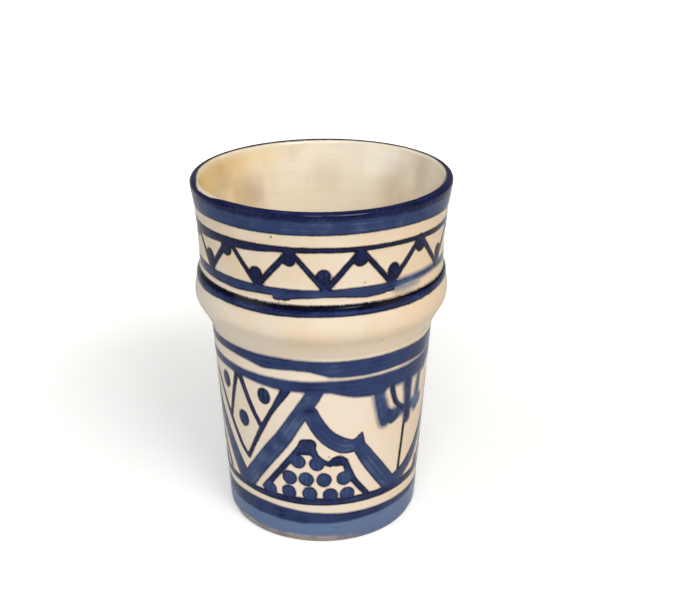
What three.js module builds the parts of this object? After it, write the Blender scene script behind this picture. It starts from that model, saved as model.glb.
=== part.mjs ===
// Wheel-thrown earthenware cup with a ridge under its collar: a fired clay body, the two cream
// glaze coats that were poured over it, and the cobalt bands that were brushed onto the glaze while
// the cup turned on the wheel. Millimetres, +Z up, with the origin under the middle of the foot.
import * as THREE from "three";

// Heights of the clay body, stacked from the table up.
const bodyHeight = 65.2; // table to the underside of the ridge
const ridgeHeight = 18; // underside of the ridge to the start of the collar
const collarHeight = 27.4; // start of the collar to the top of the bare clay lip
const ridgeCrestRise = 9.3; // underside of the ridge to its crest
const ridgeBrowLift = 1.8; // how much fuller than a straight slope the top of the ridge is
const collarStraight = 12; // how far up the collar keeps its radius
const flareDrop = 8; // start of the lip's flare, below the top of the lip

// Outside of the clay body. The ridge stands out almost as far as the rim, and the collar between
// them is drawn in.
const rimRadius = 38.5;
const ridgeSetback = 0.35; // ridge crest in from the rim
const collarHollow = 2; // narrowest part of the collar in from the rim
const shoulderRadius = 33.7; // lower wall, just under the ridge
const footRadius = 29.9; // lower wall, where the glaze stops

// Walls.
const wallThickness = 4;
const lipThickness = 2.1;
const flareLead = 1.2; // how far the flare still has to go where it starts
const lipRollDepth = 16; // depth at which the lip has thickened to the full wall
const floorThickness = 7; // table to the bare clay of the floor inside
const heelRadius = 9; // round inside corner between floor and wall

// Foot, left bare: a standing ring round a shallow recess.
const footRingWidth = 5;
const footRecessDepth = 1.8;
const footRecessSlope = 1;
const footBevel = 0.3; // how far the standing ring draws in below the glaze
const bareFootHeight = 2.1;

// Coats.
const glazeThickness = 0.4;
const paintThickness = 0.2;

// Painted bands: how tall each is, and how much white shows between one and the next.
const rimBandHeight = 6.2; // below the top of the lip
const rimMargin = 3.7;
const friezeTopLineHeight = 1.6;
const friezeBottomLineHeight = 2.5;
const friezeBottomMargin = 2.2; // white between the frieze and the ridge line
const ridgeLineHeight = 3.5;
const ridgeLineRise = 0.4; // the ridge line's upper edge above the start of the collar
const shoulderDrop = 0.4; // underside of the ridge to the shoulder band
const shoulderBandHeight = 3.6;
const shoulderMargin = 2.7;
const panelTopLineHeight = 4.2;
const panelBottomLineHeight = 2.8;
const footMargin = 3.2; // white between the panel and the foot band
const footBandHeight = 9.3;

// How finely round shapes are cut.
const turnFacets = 48;
const ridgeSteps = 8;
const collarSteps = 5;
const lipSteps = 6;
const linerSteps = 6;
const heelSteps = 4;

const collarStart = bodyHeight + ridgeHeight;
const lipTop = collarStart + collarHeight;
const ridgeCrest = bodyHeight + ridgeCrestRise;
const ridgeRadius = rimRadius - ridgeSetback;
const collarRadius = rimRadius - collarHollow;

const clay = new THREE.MeshStandardMaterial({ color: 0xb98e68, roughness: 0.9, metalness: 0 });
const creamGlaze = new THREE.MeshStandardMaterial({ color: 0xe6d5bd, roughness: 0.25, metalness: 0 });
const cobalt = new THREE.MeshStandardMaterial({ color: 0x2c3664, roughness: 0.25, metalness: 0 });

// The bare foot, from the axis to the height where the glaze stops.
function footOutline() {
  const ringOuter = footRadius - footBevel;
  const ringInner = ringOuter - footRingWidth;
  return [
    new THREE.Vector2(0, footRecessDepth),
    new THREE.Vector2(ringInner - footRecessSlope, footRecessDepth),
    new THREE.Vector2(ringInner, 0),
    new THREE.Vector2(ringOuter, 0),
    new THREE.Vector2(footRadius, bareFootHeight),
  ];
}

// The outside of the wall above the foot: a straight taper, the ridge and the flared collar.
function outsideOutline() {
  const ridge = new THREE.SplineCurve([
    new THREE.Vector2(shoulderRadius, bodyHeight),
    new THREE.Vector2((shoulderRadius + ridgeRadius) / 2, (bodyHeight + ridgeCrest) / 2),
    new THREE.Vector2(ridgeRadius, ridgeCrest),
    new THREE.Vector2((ridgeRadius + collarRadius) / 2, (ridgeCrest + collarStart) / 2 + ridgeBrowLift),
    new THREE.Vector2(collarRadius, collarStart),
  ]);
  const collar = new THREE.CubicBezierCurve(
    new THREE.Vector2(collarRadius, collarStart),
    new THREE.Vector2(collarRadius, collarStart + collarStraight),
    new THREE.Vector2(rimRadius - flareLead, lipTop - flareDrop),
    new THREE.Vector2(rimRadius, lipTop - lipThickness / 2),
  );
  return [...ridge.getPoints(ridgeSteps), ...collar.getPoints(collarSteps).slice(1)];
}

// The round top of the lip, from its outer side over to its inner side.
function lipOutline() {
  const lipRound = lipThickness / 2;
  const arc = new THREE.EllipseCurve(rimRadius - lipRound, lipTop - lipRound, lipRound, lipRound, 0, Math.PI);
  return arc.getPoints(lipSteps).slice(1);
}

// The inside, from below the lip down to the middle of the floor.
function insideOutline() {
  const heelOuter = footRadius - wallThickness;
  const wall = new THREE.SplineCurve([
    new THREE.Vector2(rimRadius - lipThickness, lipTop - lipThickness / 2),
    new THREE.Vector2(collarRadius - wallThickness, lipTop - lipRollDepth),
    new THREE.Vector2(shoulderRadius - wallThickness, bodyHeight),
    new THREE.Vector2(heelOuter, floorThickness + heelRadius),
  ]);
  const heel = new THREE.EllipseCurve(
    heelOuter - heelRadius, floorThickness + heelRadius, heelRadius, heelRadius, 0, -Math.PI / 2, true,
  );
  return [
    ...wall.getPoints(linerSteps).slice(1),
    ...heel.getPoints(heelSteps).slice(1),
    new THREE.Vector2(0, floorThickness),
  ];
}

// The outline moved out by a distance, along the mean of the two edge normals at each point. A point
// on the axis, and the top of the lip, move straight up.
function grown(outline, distance) {
  const normals = outline.slice(1).map((point, i) => {
    const edge = point.clone().sub(outline[i]).normalize();
    return new THREE.Vector2(edge.y, -edge.x);
  });
  return outline.map((point, i) => {
    const before = normals[Math.max(i - 1, 0)];
    const after = normals[Math.min(i, normals.length - 1)];
    const mean = before.clone().add(after).normalize();
    const reach = distance / mean.dot(after);
    const moved = mean.multiplyScalar(reach).add(point);
    if (point.x === 0) moved.x = 0;
    return moved;
  });
}

// The stretch of an outline between two heights, with its ends cut exactly there. The outline climbs.
function between(outline, low, high) {
  const at = (height) => {
    const i = outline.findIndex((point) => point.y >= height);
    const a = outline[i - 1];
    const b = outline[i];
    return a.clone().lerp(b, (height - a.y) / (b.y - a.y));
  };
  return [at(low), ...outline.filter((point) => point.y > low && point.y < high), at(high)];
}

// A closed outline turned into a solid about the cup's upright axis.
function turned(name, outline, material) {
  const geometry = new THREE.LatheGeometry(outline, turnFacets).rotateX(Math.PI / 2);
  const mesh = new THREE.Mesh(geometry, material);
  mesh.name = name;
  return mesh;
}

// A coat of even thickness laid face to face on a stretch of outline.
function coat(name, inner, outer, material) {
  return turned(name, [...outer, ...inner.slice().reverse(), outer[0].clone()], material);
}

const foot = footOutline();
const outside = outsideOutline();
const lip = lipOutline();
const inside = insideOutline();
const bareClay = [...foot, ...outside, ...lip, ...inside];
const glazeStart = foot.length - 1;
const lipTopIndex = foot.length + outside.length + lipSteps / 2 - 1;

const glazed = [...bareClay.slice(0, glazeStart), ...grown(bareClay.slice(glazeStart), glazeThickness)];
const outsideClay = bareClay.slice(glazeStart, lipTopIndex + 1);
const outsideGlaze = glazed.slice(glazeStart, lipTopIndex + 1);
const insideClay = bareClay.slice(lipTopIndex);
const insideGlaze = glazed.slice(lipTopIndex);

const cup = new THREE.Group();
cup.name = "cup";
cup.add(
  turned("clay_body", bareClay, clay),
  coat("inside_glaze", insideClay, insideGlaze, creamGlaze),
  coat("outside_glaze", outsideClay, outsideGlaze, creamGlaze),
);

// Lower and upper edge of each painted band, from the lip down.
const rimBandLow = lipTop - rimBandHeight;
const friezeTopHigh = rimBandLow - rimMargin;
const ridgeLineHigh = collarStart + ridgeLineRise;
const friezeBottomLow = ridgeLineHigh + friezeBottomMargin;
const shoulderHigh = bodyHeight - shoulderDrop;
const panelTopHigh = shoulderHigh - shoulderBandHeight - shoulderMargin;
const footBandLow = bareFootHeight;
const panelBottomLow = footBandLow + footBandHeight + footMargin;
const bands = [
  ["frieze_top_line", friezeTopHigh - friezeTopLineHeight, friezeTopHigh],
  ["frieze_bottom_line", friezeBottomLow, friezeBottomLow + friezeBottomLineHeight],
  ["ridge_line", ridgeLineHigh - ridgeLineHeight, ridgeLineHigh],
  ["shoulder_band", shoulderHigh - shoulderBandHeight, shoulderHigh],
  ["panel_top_line", panelTopHigh - panelTopLineHeight, panelTopHigh],
  ["panel_bottom_line", panelBottomLow, panelBottomLow + panelBottomLineHeight],
  ["foot_band", footBandLow, footBandLow + footBandHeight],
];

for (const [name, low, high] of bands) {
  const seat = between(outsideGlaze, low, high);
  cup.add(coat(name, seat, grown(seat, paintThickness), cobalt));
}

const rimSeat = [
  between(outsideGlaze, rimBandLow, lipTop)[0],
  ...outsideGlaze.filter((point) => point.y > rimBandLow),
];
cup.add(coat("rim_band", rimSeat, grown(rimSeat, paintThickness), cobalt));

export default cup;
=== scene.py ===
"""Earthenware cup: a thrown clay body, a poured inside coat, and an outside coat with brushed cobalt."""

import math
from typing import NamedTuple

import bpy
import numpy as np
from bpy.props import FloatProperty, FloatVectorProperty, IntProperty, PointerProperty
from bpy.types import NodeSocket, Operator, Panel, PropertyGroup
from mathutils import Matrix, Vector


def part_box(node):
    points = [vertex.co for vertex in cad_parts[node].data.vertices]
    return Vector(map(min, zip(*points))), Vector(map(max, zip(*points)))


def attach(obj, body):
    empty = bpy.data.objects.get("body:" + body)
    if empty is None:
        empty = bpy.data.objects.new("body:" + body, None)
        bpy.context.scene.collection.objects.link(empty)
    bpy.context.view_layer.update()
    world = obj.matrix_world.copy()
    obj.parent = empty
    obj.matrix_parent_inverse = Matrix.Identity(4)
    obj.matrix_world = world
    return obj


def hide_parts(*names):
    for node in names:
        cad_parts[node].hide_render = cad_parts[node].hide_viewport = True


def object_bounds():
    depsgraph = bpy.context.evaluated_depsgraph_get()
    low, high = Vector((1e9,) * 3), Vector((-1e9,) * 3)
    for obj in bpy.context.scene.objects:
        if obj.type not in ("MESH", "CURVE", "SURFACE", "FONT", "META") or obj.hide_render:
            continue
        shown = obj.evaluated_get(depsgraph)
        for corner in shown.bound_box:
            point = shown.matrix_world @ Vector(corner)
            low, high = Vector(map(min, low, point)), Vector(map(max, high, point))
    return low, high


bl_info = {
    "name": "Earthenware Cup",
    "version": (1, 0, 0),
    "blender": (4, 5, 0),
    "location": "View3D > Sidebar > Cup",
    "description": "Throws, glazes and paints an earthenware cup on its measured frame",
    "category": "Mesh",
}

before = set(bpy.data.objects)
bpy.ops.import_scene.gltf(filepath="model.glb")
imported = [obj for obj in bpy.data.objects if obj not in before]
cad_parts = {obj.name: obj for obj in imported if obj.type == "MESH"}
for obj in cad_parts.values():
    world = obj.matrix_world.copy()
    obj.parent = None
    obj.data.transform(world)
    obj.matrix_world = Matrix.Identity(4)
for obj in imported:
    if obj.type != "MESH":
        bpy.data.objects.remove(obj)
cad_low, cad_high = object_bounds()
glaze_low, glaze_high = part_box("outside_glaze")

MM = 0.001

# How finely each stretch of the outline is cut, and each pull of the brush.
WALL_RINGS = 25
RIDGE_STEPS = 3
COLLAR_RINGS = 12
LIP_STEPS = 8
LINER_STEPS = 8
HEEL_STEPS = 6
FLOOR_RINGS = 5
STROKE_STEPS = 4

# Small sizes of the meshes: the ring that a disc is merged shut from, a ring in the foot's recess, how
# near to a ring its own vertices lie, and how the outside coat laps over the inside one past the lip.
POLE_RADIUS = 0.6 * MM
RECESS_RING = 12 * MM
RING_REACH = 0.1 * MM
LAP_RINGS = 3
LAP_RAISE = 0.03 * MM
TUCKED_LIP_RINGS = 2
TUCK_DEPTH = 0.15 * MM
PIECE_CREASE = math.radians(50)
FLOOR_CREASE = math.radians(60)

# Marks of the hand. Each wave round the wall has its lobes, phase, twist up the wall and strength. A
# stretch of heights is given from where a mark starts to where it is full.
WAVES = ((2, 0.6, 40, 1.0), (3, 2.1, -60, 0.6))
WAVY_HEIGHTS = (5 * MM, 30 * MM)
WAVY_CORE = 5 * MM
LIP_HEIGHTS = (88 * MM, 109 * MM)
DIP_SIDE = math.radians(-150)
LEAN_SIDE = math.radians(-90)
LEAN_REACH = 5 * MM

# The stage.
WHITE_LIGHT = (1.0, 1.0, 1.0)
COOL_LIGHT = (0.8, 0.91, 1.0)
WARM_LIGHT = (1.0, 0.88, 0.7)
ROOM_TINT = (1.0, 0.985, 0.96)
LAMP_DISTANCE = 1.2
FLOOR_FACETS = 64
FLOOR_DISC = 0.3
BACKDROP_BEND = (1.12, 0.12)
BACKDROP_EDGE = 1.15
MIRRORED_GLOW = 0.06
GLOW_REACH = (0.05, 0.4)
GLOW_NEAR = 0.35
GLOW_RISE = 0.45
SENSOR_WIDTH = 36
CLIP_START = 0.01


def linear(red, green, blue):
    """A colour written as 0 to 255 screen values, as the linear values that shaders take."""
    channels = [value / 255 for value in (red, green, blue)]
    return tuple(c / 12.92 if c <= 0.04045 else ((c + 0.055) / 1.055) ** 2.4 for c in channels)


def length(name, description, default):
    """A size in metres that shows in the scene's own length unit."""
    return FloatProperty(name=name, description=description, default=default, unit="LENGTH", precision=5)


def angle(name, description, default):
    """An angle in radians that shows in the scene's own unit."""
    return FloatProperty(name=name, description=description, default=default, subtype="ANGLE")


def amount(name, description, default, subtype="NONE"):
    """A number that is never below zero."""
    return FloatProperty(name=name, description=description, default=default, min=0, subtype=subtype)


def count(name, description, default):
    """How many sides a circle has."""
    return IntProperty(name=name, description=description, default=default, min=24)


def colour(name, description, red, green, blue):
    """A colour that is picked in the sidebar."""
    return FloatVectorProperty(
        name=name, description=description, default=linear(red, green, blue), subtype="COLOR", min=0, max=1
    )


class CupShape(PropertyGroup):
    """Sizes of the cup, measured on its glazed surface."""

    foot_radius: length("Foot Radius", "Lower wall where the glaze stops", 30.3 * MM)
    glaze_foot: length("Glaze Foot", "Height at which the glaze stops", glaze_low.z)
    shoulder_radius: length("Shoulder Radius", "Lower wall just under the ridge", 34.1 * MM)
    shoulder_height: length("Shoulder Height", "Underside of the ridge", 65.2 * MM)
    ridge_radius: length("Ridge Radius", "Crest of the ridge", 38.55 * MM)
    ridge_height: length("Ridge Height", "Height of the ridge's crest", 74.5 * MM)
    ridge_brow: length("Ridge Brow", "How much fuller than a straight slope its top is", 1.8 * MM)
    collar_radius: length("Collar Radius", "Narrowest part of the collar", 36.9 * MM)
    collar_height: length("Collar Height", "Start of the collar above the ridge", 83.2 * MM)
    collar_straight: length("Collar Straight", "How far up the collar keeps its radius", 12 * MM)
    flare_drop: length("Flare Drop", "Start of the flare below the top of the lip", 8.4 * MM)
    flare_lead: length("Flare Lead", "How far the flare still has to go where it starts", 1.2 * MM)
    rim_radius: length("Rim Radius", "Outside of the lip", glaze_high.x)
    lip_top: length("Lip Top", "Top of the glazed lip", glaze_high.z)
    lip_thickness: length("Lip Thickness", "Glazed lip, side to side", 2.9 * MM)
    lip_roll: length("Lip Roll", "Depth at which the lip has thickened to the wall", 16.4 * MM)
    wall_thickness: length("Wall Thickness", "Glazed wall, side to side", 4.8 * MM)
    floor_height: length("Floor Height", "Glazed floor inside, above the table", 7.4 * MM)
    heel_radius: length("Heel Radius", "Round corner between floor and wall", 8.6 * MM)
    glaze_thickness: length("Glaze Thickness", "Coat over the clay", 0.4 * MM)
    foot_ring_outer: length("Foot Ring Outer", "Outside of the standing ring", 29.6 * MM)
    foot_ring_inner: length("Foot Ring Inner", "Inside of the standing ring", 24.6 * MM)
    foot_recess: length("Foot Recess", "Depth of the recess under the cup", 1.8 * MM)
    foot_edge: length("Foot Edge", "Rounding of the standing ring's edges", 0.4 * MM)
    paint_relief: length("Paint Relief", "How far the cobalt stands up on the glaze", 0.1 * MM)
    ridge_bead: length("Ridge Bead", "How far the thick ridge line stands up", 0.25 * MM)
    lip_dip: length("Lip Dip", "How much lower the back of the lip is", 1 * MM)
    lip_shift: length("Lip Shift", "How far the lip is off centre, to the right", 0.12 * MM)
    ridge_lean: length("Ridge Lean", "How much further the ridge stands out on its left", 0.25 * MM)
    wobble: length("Wobble", "Unevenness of the thrown wall", 0.05 * MM)
    facets: count("Facets", "Sides of the painted coat's first circle", 90)
    plain_facets: count("Plain Facets", "Sides of the other pieces' first circle", 60)


class CupColours(PropertyGroup):
    """Colours of the clay, the glaze and the cobalt."""

    cream: colour("Cream", "Tin glaze where it lies thick", 234, 219, 199)
    # Warm Cream is also painted over the right side of the outside as painted warm light.
    cream_warm: colour("Warm Cream", "Tin glaze where the clay shines through", 230, 205, 171)
    # Painted light: this lighter cream brightens the lower wall and the underside of the ridge, where the
    # lamps leave them darker.
    painted_lit_cream: colour("Painted Lit Cream", "Tin glaze that has run together low on the wall", 245, 229, 210)
    # Inside Cream is lighter than the outside's cream as painted light, for light that the lamps don't bring
    # into the cup.
    inside_cream_painted_lit: colour("Inside Cream", "Tin glaze inside, poured thicker", 250, 240, 218)
    blush: colour("Blush", "Pink mottles in the glaze", 235, 203, 179)
    ochre: colour("Ochre", "Stained glaze inside, on the left", 230, 187, 92)
    ash: colour("Ash", "Clouded glaze inside, on the right", 243, 232, 214)
    umber: colour("Umber", "Brown clouds inside and in the throwing lines", 172, 138, 98)
    wash: colour("Cobalt Wash", "Thin cobalt", 98, 117, 152)
    cobalt: colour("Cobalt", "Cobalt of middling strength", 45, 60, 101)
    navy: colour("Navy", "Dense cobalt", 19, 26, 66)
    ink: colour("Blue Black", "Cobalt where it pools", 6, 6, 22)
    buff: colour("Buff", "Bare fired clay", 174, 162, 157)
    buff_dark: colour("Dark Buff", "Grit and shade in the bare clay", 128, 113, 105)
    speck: colour("Speck", "Iron specks in the glaze", 120, 88, 52)


class CupStage(PropertyGroup):
    """Camera, floor and lamps."""

    camera_back: length("Camera Back", "Camera in front of the cup's axis", 0.33)
    camera_height: length("Camera Height", "Camera above the table", 0.21345)
    camera_pitch: angle("Camera Pitch", "How far the camera looks down", 0.412267)
    camera_yaw: angle("Camera Yaw", "How far the camera looks to its right", 0.014254)
    camera_lens: amount("Camera Lens", "Focal length in millimetres on a 36 mm sensor", 61.99)
    floor_radius: length("Floor Radius", "Flat part of the floor", 2.6)
    backdrop_height: length("Backdrop Height", "How far the floor's edge is turned up", 1.0)
    floor_colour: colour("Floor Colour", "Pale floor and backdrop", 236, 235, 233)
    room_light: amount("Room Light", "Even light from all round", 0.3)
    key_power: amount("Key Lamp", "Soft lamp above, from the right", 10.4, "POWER")
    front_power: amount("Front Lamp", "Smaller lamp above the camera", 4.6, "POWER")
    left_power: amount("Left Lamp", "Soft cool lamp at the left", 3.1, "POWER")
    right_power: amount("Right Lamp", "Soft warm lamp at the right", 1.6, "POWER")


class Lamp(NamedTuple):
    """A soft round lamp: degrees to the right and up, its width in metres and its colour."""

    right: float
    up: float
    width: float
    tint: tuple


LAMPS = {
    "key": Lamp(28, 48, 0.56, WHITE_LIGHT),
    "front": Lamp(-9, 50, 0.34, WHITE_LIGHT),
    "left": Lamp(-65, 16, 0.8, COOL_LIGHT),
    "right": Lamp(65, 16, 0.8, WARM_LIGHT),
}

# Brushwork is laid out in degrees round the cup, from 0 at the front and positive to the right, and in
# millimetres above the table. Past the top of the lip the height goes on along its inner side. Widths
# are in millimetres. Ink runs from a thin wash at 0.3 to pooled blue black at 1.05, and softness is the
# width over which an edge fades.
CRISP = 0.45
PLAIN_INK = 0.6
INK_STEPS = (0.0, 0.3, 0.62, 0.85, 1.05)
STREAK_DEPTH = 0.09
PAINT_REACH = 4.0
NO_COVER = -9.0
RELIEF_EDGE = (-0.2, 0.7)

# Hairs of the brush: two waves across a stroke, and their drift and swell along it.
COARSE_HAIRS = 3.7
FINE_HAIRS = 6.1
HAIR_DRIFT = 0.11
SWELL_WAVE = 0.23
SWELL_SHARE = 0.35


class Ring(NamedTuple):
    """A band brushed round the cup. Its edges are knots of degrees and millimetres."""

    lower: tuple
    upper: tuple
    ink: float
    soft: float = CRISP
    span: tuple = (-180, 180)


class Stroke(NamedTuple):
    """A pull of the brush through points of degrees, millimetres and the brush's width there."""

    points: tuple
    ink: float = 0.62
    soft: float = CRISP


class Dot(NamedTuple):
    """A round dab of the brush: degrees, millimetres and half its width and height."""

    degrees: float
    height: float
    half_width: float
    half_height: float
    ink: float = PLAIN_INK


class Nicks(NamedTuple):
    """A ragged stretch of a lower edge: where it starts and how its nicks follow each other."""

    start: float
    step: float
    count: int
    height: float
    drop: float
    ink: float


class Tooth(NamedTuple):
    """One up and down of the zigzag: its low and high points, with the dab in the crook of each."""

    valley: float
    low_dab: tuple
    apex: float
    high_dab: tuple


RIM_TOP = (
    (-150, 111.6), (-115, 111.4), (-95, 111.6), (-80, 111.8), (-72, 110.9), (-66, 110.4), (-54, 110.5),
    (-46, 111.6), (-38, 112.8), (68, 112.9), (80, 112.6), (90, 112.3), (115, 111.8), (150, 111.7),
)
POOL_DROP = 0.4
RIDGE_LINE_TOP = ((-63, 83.3), (-20, 83.2), (0, 83.3), (49, 83.1), (63, 83.0))
FOOT_BAND_TOP = ((-63, 12.3), (-50, 12.7), (-35, 12.8), (-20, 12.3), (-10, 11.8), (10, 11.2), (60, 10.9))

RIM_BAND = Ring(
    (
        (-70, 103.3), (-49, 103.9), (-30, 104.1), (0, 104.4), (14, 104.5), (30, 104.5), (49, 104.1),
        (70, 103.2),
    ),
    RIM_TOP, PLAIN_INK,
)
RIM_POOL = Ring(
    ((-60, 108.0), (-30, 108.5), (0, 108.7), (25, 108.9), (60, 108.0)),
    tuple((degrees, height - POOL_DROP) for degrees, height in RIM_TOP),
    0.86, 0.9,
)
FRIEZE_TOP_LINE = Ring(
    (
        (-63, 96.9), (-50, 97.7), (-35, 97.9), (-28, 98.2), (-20, 98.9), (0, 99.2), (30, 99.1), (40, 98.9),
        (60, 98.2),
    ),
    ((-63, 100.2), (-50, 100.5), (-20, 100.9), (0, 101.0), (30, 100.7), (50, 100.4), (60, 100.2)),
    0.85,
)
FRIEZE_BOTTOM_LINE = Ring(
    (
        (-60, 85.2), (-40, 85.0), (-30, 85.5), (-22, 85.6), (-21.5, 84.4), (-19, 84.3), (-15, 84.8),
        (-10, 85.2), (0, 85.8), (10, 85.6), (20, 84.9), (30, 85.3),
    ),
    ((-60, 88.3), (-22, 88.3), (0, 88.2), (12, 88.5), (32, 88.5)),
    0.68, 0.55, (-282, 34),
)
RIDGE_LINE = Ring(
    ((-63, 79.9), (-50, 80.2), (-20, 80.0), (0, 80.3), (45, 80.2), (63, 80.5)), RIDGE_LINE_TOP, 0.75
)
# Painted reflection: the upward-facing half of the ridge line is painted blue black for the dark room that
# it mirrors.
RIDGE_LINE_PAINTED_REFLECTION = Ring(
    ((-60, 82.1), (0, 82.0), (25, 81.9), (45, 82.2), (63, 82.4)), RIDGE_LINE_TOP, 1.05, 0.35
)
SHOULDER_BAND = Ring(
    (
        (-63, 61.7), (-50, 61.9), (-40, 61.5), (-31, 60.5), (-15, 61.3), (-6, 61.1), (-2, 60.4), (4, 59.3),
        (20, 58.9), (40, 59.0), (63, 58.3),
    ),
    ((-63, 64.9), (-45, 65.2), (-20, 65.4), (0, 65.0), (40, 64.7), (63, 63.9)),
    0.66, 0.8,
)
PANEL_TOP_LINE = Ring(
    (
        (-60, 55.3), (-42, 55.1), (-24, 54.2), (4, 54.1), (10, 53.0), (16, 52.0), (25, 51.4), (34, 51.4),
        (36, 53.0), (60, 53.0),
    ),
    ((-63, 58.3), (-40, 58.1), (-10, 58.1), (4, 58.4), (30, 58.3), (49, 58.0)),
    0.64, 0.9,
)
PANEL_BOTTOM_LINE = Ring(
    ((-63, 14.5), (-50, 14.9), (-30, 14.5), (-10, 14.3), (10, 14.3), (45, 14.3)),
    ((-63, 17.1), (0, 17.1), (45, 17.2)),
    0.76,
)
FOOT_WASH = Ring(((0, 1.4),), FOOT_BAND_TOP, 0.3, 0.6)
FOOT_STRIPE = Ring(
    ((-63, 8.1), (-40, 7.7), (0, 7.5), (20, 8.0), (40, 8.6), (60, 8.7)), FOOT_BAND_TOP, 0.7, 0.8
)
BANDS = (
    RIM_BAND, RIM_POOL, FRIEZE_TOP_LINE, FRIEZE_BOTTOM_LINE, RIDGE_LINE, RIDGE_LINE_PAINTED_REFLECTION, SHOULDER_BAND,
    PANEL_TOP_LINE, PANEL_BOTTOM_LINE, FOOT_WASH, FOOT_STRIPE,
)
RAGGED_EDGES = (
    Nicks(40.5, 2.1, 11, 81.1, 0.8, RIDGE_LINE.ink),
    Nicks(-21.0, 1.0, 7, 85.0, 0.55, FRIEZE_BOTTOM_LINE.ink),
)
NICK_ROOT = 1.2
NICK_TIP = 0.5
NICK_SLANT = 0.5

# The zigzag that shows at the front, in degrees, with its dabs in degrees, height and half sizes.
FRONT_TEETH = (
    Tooth(-58.6, (-59.4, 91.8, 2.3, 2.3), -43.6, (-45.7, 96.6, 2.3, 2.3)),
    Tooth(-29.1, (-29.5, 91.7, 2.05, 2.1), -13.4, (-13.9, 97.0, 2.15, 2.15)),
    Tooth(1.5, (0.8, 92.4, 2.1, 2.1), 16.9, (16.7, 96.9, 2.3, 2.3)),
    Tooth(32.0, (32.8, 91.7, 2.15, 2.6), 47.8, (48.4, 97.0, 2.2, 2.2)),
)
# A tooth round the back is the same, with its own low and high points at 0 degrees.
BACK_TOOTH = Tooth(0.0, (1.2, 91.9, 2.1, 2.2), 0.0, (-0.4, 96.9, 2.15, 2.15))
TEETH_ROUND = 12
VALLEY_HEIGHT = 87.9
APEX_HEIGHT = 99.6
FRIEZE_INK = 0.83
DAB_INK = FRIEZE_INK + 0.05
RISING_WIDTH = 2.0
FALLING_WIDTH = 1.8
DAB_ROOT = 2.2
DAB_NECK = 1.5

# Where the line under the frieze runs out on the right: a thinner wet line, and a pale veil under it.
FRIEZE_SMEARS = (
    Stroke(((33.0, 87.3, 2.8), (42.0, 87.5, 2.6), (64.0, 87.6, 2.4), (80.0, 87.0, 2.8)), 0.56, 1.4),
    Stroke(((35.5, 85.6, 1.6), (41.0, 85.6, 1.8), (48.0, 86.0, 1.0)), 0.42, 3.6),
)

# The mountain in the middle of the front: its two legs, the scallop between them and the line inside.
FRONT_MOUNTAIN = (
    Stroke(
        (
            (-2.4, 55.5, 4.6), (-4.4, 53.7, 4.9), (-8.4, 49.7, 5.0), (-14.9, 43.7, 5.0), (-21.2, 37.7, 5.4),
            (-29.0, 31.7, 5.5), (-36.8, 25.7, 5.4), (-46.0, 18.7, 5.6),
        ),
        0.56, 0.6,
    ),
    Stroke(
        ((-6.2, 47.5, 4.8), (-2.5, 42.9, 5.2), (3.0, 38.8, 5.4), (10.5, 35.9, 5.5), (17.2, 35.3, 4.5)), 0.58
    ),
    Stroke(((18.6, 36.1, 4.0), (23.2, 31.6, 5.0), (30.4, 25.5, 5.5), (40.0, 18.1, 5.6)), 0.58),
    Stroke(((19.6, 36.7, 4.2), (21.2, 39.7, 0.6))),
    Stroke(((-8.4, 48.1, 2.2), (-6.0, 48.3, 2.4)), 0.78, 1.4),
    Stroke(((-10.2, 36.9, 2.6), (-13.2, 34.1, 2.3), (-22.6, 26.9, 2.1), (-34.4, 18.1, 2.2)), 0.72),
    Stroke(((-9.4, 36.2, 4.3), (-6.9, 36.3, 4.3)), 0.76),
    Stroke(((-11.0, 34.1, 3.2), (-6.6, 34.1, 3.2)), 0.74),
    Stroke(((-6.0, 36.3, 2.4), (-4.6, 33.1, 2.4), (-1.5, 30.9, 2.2), (4.0, 29.3, 1.8)), 0.72),
    Stroke(((4.6, 29.9, 2.2), (8.2, 30.5, 3.9), (11.6, 30.1, 2.6)), 0.76),
    Stroke(((12.4, 30.3, 1.8), (13.6, 27.3, 2.4), (17.8, 22.5, 2.1), (24.8, 17.3, 2.1)), 0.72),
)
FRONT_DOTS = (
    (-13.4, 30.1), (-3.2, 29.6),
    (-18.5, 23.9), (-9.1, 23.9), (0.6, 23.8), (11.6, 24.1),
    (-31.0, 18.2), (-19.2, 18.6), (-7.3, 18.6), (4.1, 18.2), (13.5, 18.2),
)
MOUNTAIN_DOT = (2.4, 2.6, PLAIN_INK)

# A plain mountain, as on the other sides, about its own middle.
PLAIN_MOUNTAIN = (
    Stroke(((0.0, 55.7, 5.0), (-18.0, 41.2, 5.2), (-46.0, 18.7, 5.6)), 0.56),
    Stroke(((0.0, 55.7, 5.0), (18.0, 41.2, 5.2), (46.0, 18.7, 6.2)), 0.56),
    Stroke(((0.0, 37.7, 3.4), (-12.0, 34.2, 2.3), (-34.0, 18.1, 2.2)), 0.72),
    Stroke(((0.0, 37.7, 3.4), (12.0, 34.2, 2.3), (30.0, 18.1, 2.2)), 0.72),
)
PLAIN_DOTS = (
    (-5.0, 29.7), (5.0, 29.7),
    (-13.5, 24.1), (-4.5, 24.0), (4.5, 24.2), (13.5, 24.0),
    (-22.0, 18.3), (-11.0, 18.5), (0.0, 18.5), (11.0, 18.4), (20.0, 18.3),
)
SIDE_MOUNTAINS = (-97, 179)

# The mountain round the right side, whose near leg lies flatter.
RIGHT_MIDDLE = 92
RIGHT_MOUNTAIN = (
    Stroke(
        (
            (44.0, 18.1, 5.0), (52.0, 19.9, 4.6), (60.0, 22.7, 5.0), (67.0, 26.3, 4.8), (78.0, 34.7, 4.6),
            (92.0, 52.7, 4.8),
        ),
        0.6,
    ),
    Stroke(((64.0, 16.5, 1.6), (76.0, 22.2, 2.2), (92.0, 34.2, 2.6)), 0.72),
    Stroke(((92.0, 54.7, 5.0), (110.0, 41.2, 5.2), (138.0, 18.7, 5.6)), 0.56),
    Stroke(((92.0, 36.7, 2.6), (104.0, 33.7, 2.3), (126.0, 18.1, 2.2)), 0.72),
)

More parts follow.
